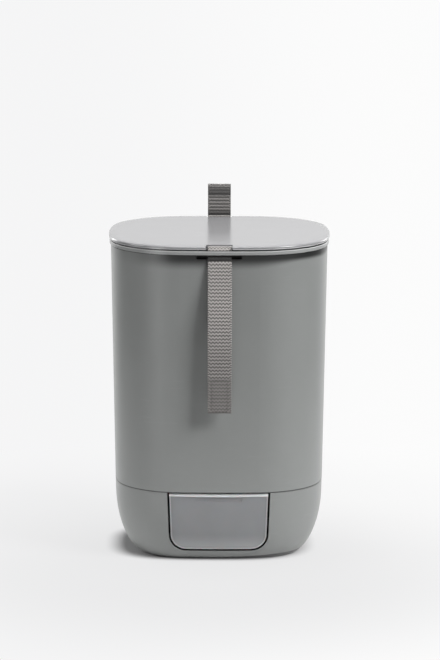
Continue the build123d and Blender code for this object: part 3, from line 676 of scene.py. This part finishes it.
class BokashiPlastic(bpy.types.PropertyGroup):
    """Colours of the moulded pieces."""

    body: FloatVectorProperty(
        name="Bucket", description="Plastic of the bucket and the base",
        subtype="COLOR", default=(0.205, 0.212, 0.208), min=0, max=1,
    )
    collar: FloatVectorProperty(
        name="Collar", description="Plastic of the band",
        subtype="COLOR", default=(0.270, 0.276, 0.274), min=0, max=1,
    )
    lid: FloatVectorProperty(
        name="Lid", description="Plastic of the lid",
        subtype="COLOR", default=(0.225, 0.225, 0.231), min=0, max=1,
    )
    # Painted shade: the cup's colour over its hollow stands in for the shade behind the frosted plastic.
    cup: FloatVectorProperty(
        name="Cup", description="Frosted plastic over the cup's hollow",
        subtype="COLOR", default=(0.20, 0.204, 0.212), min=0, max=1,
    )
    # Painted light: colour of the cup's painted highlights and of its painted light low down.
    cup_painted_light: FloatVectorProperty(
        name="Cup edges", description="Frosted plastic where it is solid",
        subtype="COLOR", default=(0.50, 0.51, 0.515), min=0, max=1,
    )
    cup_lip: FloatProperty(
        name="Cup lip", description="Height of the pale lip, in millimetres", default=3.5, min=0
    )
    roughness: FloatProperty(
        name="Body roughness", description="Of the bucket and the base", subtype="FACTOR", default=0.36
    )
    lid_roughness: FloatProperty(
        name="Lid roughness", description="Of the lid's top", subtype="FACTOR", default=0.2
    )


class BokashiWebbing(bpy.types.PropertyGroup):
    """Weave of the straps, in millimetres."""

    yarn_colour: FloatVectorProperty(
        name="Yarn", description="Tops of the woven ribs",
        subtype="COLOR", default=(0.37, 0.352, 0.34), min=0, max=1,
    )
    # Painted shade: the dark of the grooves between the ribs and of the straps' painted shade bands.
    gap_colour: FloatVectorProperty(
        name="Gaps", description="Between the ribs",
        subtype="COLOR", default=(0.07, 0.066, 0.063), min=0, max=1,
    )
    row: FloatProperty(name="Row", description="From one zigzag rib to the next", default=4.15)
    zigzag: FloatProperty(name="Zigzag", description="Width of one zigzag", default=4.0)
    swing: FloatProperty(name="Swing", description="Rise of a zigzag as a share of a row", default=0.42)
    back_swing: FloatProperty(name="Back swing", description="The same on the rear strap's side", default=0.1)
    # Painted shade: darkens the rear strap's stem and bend.
    back_painted_shade: FloatProperty(name="Back tint", description="Shade of the rear strap's side", default=0.55)
    front_aside: FloatProperty(
        name="Aside", description="Front strap to the right of the middle", default=0.8
    )
    yarn: FloatProperty(name="Yarn pitch", description="From one yarn to the next", default=1.0)
    bead: FloatProperty(name="Selvedge bead", description="From one edge bead to the next", default=2.7)
    relief: FloatProperty(name="Relief", description="Depth of the weave", default=0.42)
    thread: FloatVectorProperty(
        name="Thread", description="Sewing thread",
        subtype="COLOR", default=(0.10, 0.095, 0.092), min=0, max=1,
    )


class BokashiStage(bpy.types.PropertyGroup):
    """Camera, light and background."""

    distance: FloatProperty(name="Distance", description="Camera in front", unit="LENGTH", default=4.5845)
    height: FloatProperty(name="Height", description="Camera above the floor", unit="LENGTH", default=1.0745)
    aside: FloatProperty(name="Aside", description="Camera to the right", unit="LENGTH", default=0.00113)
    tilt: FloatProperty(name="Tilt", description="Camera looks down", unit="ROTATION", default=0.1756)
    roll: FloatProperty(name="Roll", description="Camera's roll", unit="ROTATION", default=0.0022)
    lens: FloatProperty(name="Lens", description="Focal length in millimetres", default=211.14)
    key_light: FloatProperty(name="Key light", description="Power in watts, on the right", default=74.0)
    left_light: FloatProperty(name="Left light", description="Power in watts", default=26.0)
    top_light: FloatProperty(name="Top light", description="Power in watts", default=50.0)
    back_left: FloatProperty(name="Back left light", description="Power in watts", default=18.0)
    back_right: FloatProperty(name="Back right light", description="Power in watts", default=12.0)
    sheen_light: FloatProperty(name="Sheen light", description="Power in watts, in gloss alone", default=30.0)
    ambient: FloatProperty(name="Ambient", description="Light from all sides", default=0.02)
    floor: FloatVectorProperty(
        name="Floor", description="Paper under the bin",
        subtype="COLOR", default=(0.42, 0.42, 0.422), min=0, max=1,
    )
    bounce: FloatVectorProperty(
        name="Bounce", description="Light that the paper throws back",
        subtype="COLOR", default=(0.72, 0.72, 0.72), min=0, max=1,
    )
    paper_near: FloatProperty(
        name="Lit paper", default=1.0,
        description="Reach of true light and shadow, as a share of the foot",
    )
    paper_far: FloatProperty(name="Plain paper", description="Start of the plain pale", default=1.28)
    shadow: FloatProperty(
        name="Shadow", description="How much of the soft shadow shows", default=0.13, min=0, max=1
    )
    # Painted shade: the colour of the paper round the bin's front.
    pool: FloatVectorProperty(
        name="Pool", description="Paper in front of the bin",
        subtype="COLOR", default=(0.84, 0.84, 0.845), min=0, max=1,
    )
    pale_left: FloatVectorProperty(
        name="Pale left", description="Background",
        subtype="COLOR", default=(0.915, 0.915, 0.92), min=0, max=1,
    )
    pale_right: FloatVectorProperty(
        name="Pale right", description="Background",
        subtype="COLOR", default=(0.97, 0.97, 0.97), min=0, max=1,
    )
    gloom: FloatVectorProperty(
        name="Gloom", description="Dark sides of the room",
        subtype="COLOR", default=(0.06, 0.06, 0.06), min=0, max=1,
    )
    before: FloatVectorProperty(
        name="Before", description="Room in front",
        subtype="COLOR", default=(0.4, 0.4, 0.4), min=0, max=1,
    )


class BOKASHI_OT_body(bpy.types.Operator):
    """Moulded finish of the bucket, its rim collar and the base"""

    bl_idname = "bokashi.body"
    bl_label = "Bucket and base"

    def execute(self, context):
        looks = context.scene.bokashi_plastic
        rough = looks.roughness
        grain = 0.00006
        # Painted shade on the bucket, the base and the collar, and a painted highlight on the collar's edge.
        bucket = moulded_plastic("bucket_plastic", looks.body, rough, grain, shaded=painted_shade_under_band)
        base = moulded_plastic("base_plastic", looks.body, rough, grain, shaded=painted_shade_round_the_cup)
        collar = moulded_plastic(
            "collar_plastic", looks.collar, rough - 0.08, 0.00004, shaded=painted_shade_band, paler=band_edge
        )
        dress("bucket_shell", bucket)
        dress("base_shell", base)
        dress("rim_collar", collar)
        return {"FINISHED"}


class BOKASHI_OT_lid(bpy.types.Operator):
    """Smoother finish of the lid"""

    bl_idname = "bokashi.lid"
    bl_label = "Lid"

    def execute(self, context):
        looks = context.scene.bokashi_plastic
        # Painted highlight on the lid's lower edge.
        plastic = moulded_plastic(
            "lid_plastic", looks.lid, looks.lid_roughness, 0.000004, 0.00001, paler=painted_highlight_lid_edge
        )
        dress("lid_cover", plastic)
        return {"FINISHED"}


class BOKASHI_OT_cup(bpy.types.Operator):
    """Frosted finish of the juice cup"""

    bl_idname = "bokashi.cup"
    bl_label = "Juice cup"

    def execute(self, context):
        looks = context.scene.bokashi_plastic
        dress("juice_cup", frosted_plastic("cup_plastic", looks))
        return {"FINISHED"}


class BOKASHI_OT_inside(bpy.types.Operator):
    """Finish of the strainer, the drain valve, the seals, the spring and the strap pins"""

    bl_idname = "bokashi.inside"
    bl_label = "Inner pieces"

    def execute(self, context):
        looks = context.scene.bokashi_plastic
        dress("strainer_plate", moulded_plastic("strainer_plastic", looks.body, 0.4, 0.00004))
        white = moulded_plastic("valve_plastic", (0.62, 0.62, 0.60), 0.35, 0.00002)
        for node in ("valve_body", "valve_nut", "valve_stem", "valve_button"):
            dress(node, white)
        rubber = soft_rubber("seal_rubber", (0.035, 0.036, 0.038))
        for node in ("lid_seal", "valve_gasket", "valve_seal"):
            dress(node, rubber)
        dark = drawn_steel("black_steel", (0.03, 0.03, 0.03))
        for node in ("front_strap_pin", "rear_strap_pin"):
            dress(node, dark)
        spring = coil_spring("coil_spring", drawn_steel("drawn_steel", (0.62, 0.62, 0.61)))
        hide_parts("valve_spring")
        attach(spring, "drain_valve")
        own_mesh(spring)
        return {"FINISHED"}


def pin_wrap(side, slope_from, slope_to):
    """Corners and bends of a strap's end round its pin: side -1 is the front strap, 1 the rear one.

    From the lapped end, up behind the pin, over it, down behind the band, and out over the bucket's edge on a
    slope between two heights, given as drops below the band.
    """
    low, high = corners_of("front_strap_pin" if side < 0 else "rear_strap_pin")
    pin_y, pin_z = (low[1] + high[1]) / 2, (low[2] + high[2]) / 2
    band_bottom = band_edges()[0] / MM
    anchor = corners_of("front_strap_anchor")[0] if side < 0 else corners_of("rear_strap_anchor")[1]
    hang_y = anchor[1] - side * PLY / 2
    outer_y = pin_y + side * WRAP_RADIUS
    inner_y = pin_y - side * WRAP_RADIUS
    corners = [
        (outer_y - side * LAP_INSET, pin_z - WRAP_RADIUS - LAP_DROP),
        (inner_y, pin_z - WRAP_RADIUS - WRAP_DROP),
        (inner_y, pin_z + WRAP_RADIUS),
        (outer_y, pin_z + WRAP_RADIUS),
        (outer_y, band_bottom - slope_from),
        (hang_y, band_bottom - slope_to),
    ]
    radii = [CROOK_RADIUS, NEARLY * WRAP_RADIUS, NEARLY * WRAP_RADIUS, CROOK_RADIUS, CROOK_RADIUS]
    return corners, radii


class BOKASHI_OT_front_strap(bpy.types.Operator):
    """Front webbing: round its pin, out under the band, down the bucket and turned up into a sewn hem"""

    bl_idname = "bokashi.front_strap"
    bl_label = "Front strap"

    def execute(self, context):
        looks = context.scene.bokashi_webbing
        corners, radii = pin_wrap(-1, 2.0, 3.9)
        low, high = corners_of("front_strap_fall")
        hang_y = low[1] + PLY / 2
        fold = (PLY + HEM_GAP) / 2
        turn_z = low[2] + PLY / 2
        corners += [(hang_y, high[2] - BOW_DROP), (hang_y, turn_z)]
        corners += [(hang_y + 2 * fold, turn_z), (hang_y + 2 * fold, low[2] + HEM_LENGTH)]
        radii += [BOW_RADIUS, NEARLY * fold, NEARLY * fold]
        parts = route_of(corners, radii)
        band, end = band_edges()[0], low[2] * MM
        # Painted shadow on the strap close under the band, and painted shade on its lower part and hem.
        under = (band - 0.0067, band + 0.0003, 1.0, 0.0004)
        painted_shade_low = (end - 0.0155, end + 0.0765, 0.22, 0.02)
        material = woven_webbing("webbing", looks, looks.swing, 1.0, (under, painted_shade_low))
        total = route_length(parts)
        hem_from = total - 2 * HEM_LENGTH
        piece = strap_piece(
            "front_webbing", parts, 0.0, total, looks, material, looks.swing, hem_from, looks.front_aside
        )
        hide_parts("front_strap_anchor", "front_strap_fall")
        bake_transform(piece)
        thread = sewing_thread("sewing_thread", looks.thread)
        lines = hem_lines(looks.front_aside, low[2], hang_y - PLY / 2)
        seam = stitches("front_stitching", lines, -1.0, thread)
        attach(seam, "front_strap")
        return {"FINISHED"}


class BOKASHI_OT_rear_strap(bpy.types.Operator):
    """Rear webbing: round its pin, out under the band, up past the lid, over and down to a sewn hem"""

    bl_idname = "bokashi.rear_strap"
    bl_label = "Rear strap"

    def execute(self, context):
        looks = context.scene.bokashi_webbing
        corners, radii = pin_wrap(1, 0.4, 3.5)
        hang_y = corners[-1][0]
        stem_low = corners_of("rear_strap_stem")[0]
        crest_high = corners_of("rear_strap_crest")[1]
        tail_low = corners_of("rear_strap_tail")[0]
        stem_y = stem_low[1] + PLY / 2
        tail_y = stem_y + 2 * BEND_RADIUS
        top_z = crest_high[2] - PLY / 2
        turn = (stem_y - hang_y) / 2
        turn_z = stem_low[2] - turn
        fold = (PLY + HEM_GAP) / 2
        end_z = tail_low[2] + PLY / 2
        folded_y = tail_y - 2 * fold
        corners += [(hang_y, turn_z), (stem_y, turn_z), (stem_y, top_z)]
        first_bend = 2 * len(corners) - 3  # Place in the route of the arc at the last corner so far
        corners += [(tail_y, top_z), (tail_y, end_z), (folded_y, end_z), (folded_y, tail_low[2] + HEM_LENGTH)]
        radii += [NEARLY * radius for radius in (turn, turn, BEND_RADIUS, BEND_RADIUS, fold, fold)]
        parts = route_of(corners, radii)
        total = route_length(parts)
        bend_start = route_length(parts[:first_bend])
        crest_top = bend_start + math.pi * BEND_RADIUS / 2
        stem_cut = bend_start - CREST_FOOT
        crest_z, lid_z = top_z * MM, lid_top()
        # Painted shade under and on the crest and near the lid, and a painted highlight where the strap
        # passes the lid's top.
        under_crest = (crest_z - 0.012, crest_z - 0.0018, 0.8, 0.0005)
        on_crest = (crest_z - 0.0018, crest_z + 0.010, 0.45, 0.0003)
        by_lid = (0.0, lid_z + 0.0055, 0.88, 0.005)
        wear_and_highlight = (lid_z - 0.0018, lid_z + 0.0001, 0.6, 0.0003)
        material = woven_webbing(
            "webbing_back_painted_shade", looks, looks.back_swing, looks.back_painted_shade, (under_crest, on_crest, by_lid), (wear_and_highlight,)
        )
        lower = strap_piece("rear_webbing_stem", parts, 0.0, stem_cut, looks, material, looks.back_swing)
        bend = strap_piece("rear_webbing_bend", parts, stem_cut, crest_top, looks, material, looks.back_swing)
        hem_from = total - 2 * HEM_LENGTH
        # The tail is the same webbing without the painted shade of the stem and bend.
        pale = woven_webbing("webbing_tail", looks, looks.back_swing)
        tail = strap_piece(
            "rear_webbing_tail", parts, crest_top, total, looks, pale, looks.back_swing, hem_from
        )
        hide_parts("rear_strap_anchor", "rear_strap_stem")
        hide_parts("rear_strap_crest")
        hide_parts("rear_strap_tail")
        bend_y, bend_z = stem_y + BEND_RADIUS, top_z - BEND_RADIUS
        between = (hang_y + stem_y) / 2 * MM
        spread = 0.00015
        between - spread
        between + spread
        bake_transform(lower)
        crest = (0, bend_y * MM, top_z * MM)
        bend_z * MM
        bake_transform(bend)
        bend_z * MM
        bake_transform(tail)
        thread = bpy.data.materials["sewing_thread"]
        lines = hem_lines(REAR_SEAM_ASIDE, tail_low[2], tail_y + PLY / 2)
        seam = stitches("rear_stitching", lines, 1.0, thread)
        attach(seam, "rear_strap_tail")
        return {"FINISHED"}


def studio_light(name, azimuth, elevation, size, power):
    """A softbox aimed at the bucket's middle: azimuth in degrees from the front to the right."""
    lamp = bpy.data.lights.new(name, "AREA")
    lamp.shape = "RECTANGLE"
    lamp.size, lamp.size_y = size
    lamp.energy = power
    turned, raised = math.radians(azimuth), math.radians(elevation)
    level = math.cos(raised)
    toward = Vector((math.sin(turned) * level, -math.cos(turned) * level, math.sin(raised)))
    made = bpy.data.objects.new(name, lamp)
    made.location = Vector(LAMP_TARGET) + toward * LAMP_DISTANCE
    made.rotation_mode = "QUATERNION"
    made.rotation_quaternion = (-toward).to_track_quat("-Z", "Y")
    bpy.context.scene.collection.objects.link(made)
    return made


def paper_floor(stage):
    """Pale paper: lit and shaded near the bin's foot, plain pale to the eye further off, dimmer in front as
    painted shade.

    It throws much light back on the bin from close by and little from further off. Gloss mirrors the room.
    The foot's outline is a rounded oblong: the cubes of x and y, as shares of its half sizes, add up to one.
    """
    made = Finish("floor_paper")
    point, x, y, z = made.place()
    ray = made.node("LightPath")
    glossy = ray.out("Is Glossy Ray")
    seen = made.math("MAXIMUM", ray, made.math("MAXIMUM", glossy, ray.out("Is Transmission Ray")))
    away = (x ** 2.0 + y ** 2.0) ** 0.5
    thrown = made.mix(made.step(away, 0.25, 0.9), rgba(stage.bounce), rgba(stage.bounce, 0.12))
    lit = made.node("BsdfDiffuse", None, {"Color": made.mix(ray, thrown, rgba(stage.floor))})
    sideways = made.step(x / (y + stage.distance), -0.05, 0.05)
    plain = made.mix(sideways, rgba(stage.pale_left), rgba(stage.pale_right))
    # Painted shade: a dimmer pool round the bin's front.
    pool = 1.0 - made.step((x ** 2.0 + (y + 0.2) ** 2.0) ** 0.5, 0.08, 0.5)
    plain = made.mix(pool, plain, rgba(stage.pool))
    room = room_in_gloss(made, x, y, stage)
    mirrored = made.mix(made.step(away, 0.7, 1.5), rgba(stage.pale_right), room)
    glow = made.node("Emission", None, {"Color": made.mix(glossy, plain, mirrored)})
    foot_x = abs((x + FOOT_ASIDE) / FOOT_HALF_WIDTH)
    foot_y = abs(y / FOOT_HALF_DEPTH)
    foot = (foot_x ** 3.0 + foot_y ** 3.0) ** (1 / 3)
    shadowed = 1.0 - made.step(away, 0.25, 0.6)
    far = made.step(foot, stage.paper_near, stage.paper_far) * (1.0 - shadowed * stage.shadow)
    shader = made.node("MixShader", None, {0: seen * far, 1: lit, 2: glow})
    made.node("OutputMaterial", None, {"Surface": shader})
    return made.owner


class BOKASHI_OT_stage(bpy.types.Operator):
    """Paper floor, soft studio light, pale surroundings and the camera"""

    bl_idname = "bokashi.stage"
    bl_label = "Stage"

    def execute(self, context):
        stage = context.scene.bokashi_stage
        reach = PAPER_REACH
        points = [(-reach, -reach, 0), (reach, -reach, 0), (reach, reach, 0), (-reach, reach, 0)]
        floor = new_piece("floor", points, [(0, 1, 2, 3)], paper_floor(stage))
        studio_light("key_light", 57, 37, (0.9, 0.9), stage.key_light)
        studio_light("left_light", -80, 18, (1.0, 1.0), stage.left_light)
        studio_light("top_light", 0, 88, (1.2, 1.2), stage.top_light)
        studio_light("back_left_light", -140, 12, (1.0, 1.0), stage.back_left)
        studio_light("back_right_light", 140, 12, (1.0, 1.0), stage.back_right)
        sheen = studio_light("sheen_light", -45, 8, (1.0, 2.0), stage.sheen_light)
        sheen.visible_diffuse = False
        self.surroundings(context.scene, stage)
        self.camera(context.scene, stage)
        context.scene.view_settings.view_transform = "Standard"
        return {"FINISHED"}

    def surroundings(self, scene, stage):
        """Even faint light, pale to the eye and mirrored in gloss as the room."""
        scene.world = bpy.data.worlds.new("studio")
        made = Finish("studio", scene.world)
        point, x, y, z = made.place("Generated")
        ray = made.node("LightPath")
        ambient = made.node("Background", None, {"Strength": stage.ambient, "Color": (1, 1, 1, 1)})
        plain = made.node("Background", None, {"Color": rgba(stage.pale_right)})
        gloss = made.node("Background", None, {"Color": room_in_gloss(made, x, y, stage)})
        seen = made.math("MAXIMUM", ray, ray.out("Is Transmission Ray"))
        shader = made.node("MixShader", None, {0: seen, 1: ambient, 2: plain})
        shader = made.node("MixShader", None, {0: ray.out("Is Glossy Ray"), 1: shader, 2: gloss})
        made.node("OutputWorld", None, {"Surface": shader})

    def camera(self, scene, stage):
        """The camera at the photo's viewing angle: tilted about its X, then rolled about its own axis."""
        data = bpy.data.cameras.new("camera")
        data.sensor_width = 36.0
        data.lens = stage.lens
        data.clip_end = 100.0
        camera = bpy.data.objects.new("camera", data)
        turn = Matrix.Rotation(math.pi / 2 - stage.tilt, 4, "X") @ Matrix.Rotation(stage.roll, 4, "Z")
        camera.matrix_world = Matrix.Translation((stage.aside, -stage.distance, stage.height)) @ turn
        scene.collection.objects.link(camera)
        scene.camera = camera


class BOKASHI_PT_panel(bpy.types.Panel):
    """The bin's steps in the sidebar"""

    bl_idname = "BOKASHI_PT_panel"
    bl_label = "Bokashi bin"
    bl_space_type = "VIEW_3D"
    bl_region_type = "UI"
    bl_category = "Bokashi bin"

    def draw(self, context):
        for step in STEPS:
            self.layout.operator(step.bl_idname)
        for name, kind in GROUPS.items():
            box = self.layout.box()
            for field in kind.__annotations__:
                box.prop(getattr(context.scene, name), field)


GROUPS = {"bokashi_plastic": BokashiPlastic, "bokashi_webbing": BokashiWebbing, "bokashi_stage": BokashiStage}
STEPS = (
    BOKASHI_OT_body, BOKASHI_OT_lid, BOKASHI_OT_cup, BOKASHI_OT_inside, BOKASHI_OT_front_strap,
    BOKASHI_OT_rear_strap, BOKASHI_OT_stage,
)


def register():
    """Adds the groups, the steps and the panel to Blender."""
    for kind in (*GROUPS.values(), *STEPS, BOKASHI_PT_panel):
        bpy.utils.register_class(kind)
    for name, group in GROUPS.items():
        setattr(bpy.types.Scene, name, PointerProperty(type=group))


def unregister():
    """Takes them out again."""
    for name in GROUPS:
        delattr(bpy.types.Scene, name)
    for kind in (BOKASHI_PT_panel, *STEPS[::-1], *GROUPS.values()):
        bpy.utils.unregister_class(kind)


def main():
    """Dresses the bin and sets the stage."""
    register()
    bpy.ops.bokashi.body()
    bpy.ops.bokashi.lid()
    bpy.ops.bokashi.cup()
    bpy.ops.bokashi.inside()
    bpy.ops.bokashi.front_strap()
    bpy.ops.bokashi.rear_strap()
    bpy.ops.bokashi.stage()


if __name__ == "__main__":
    main()
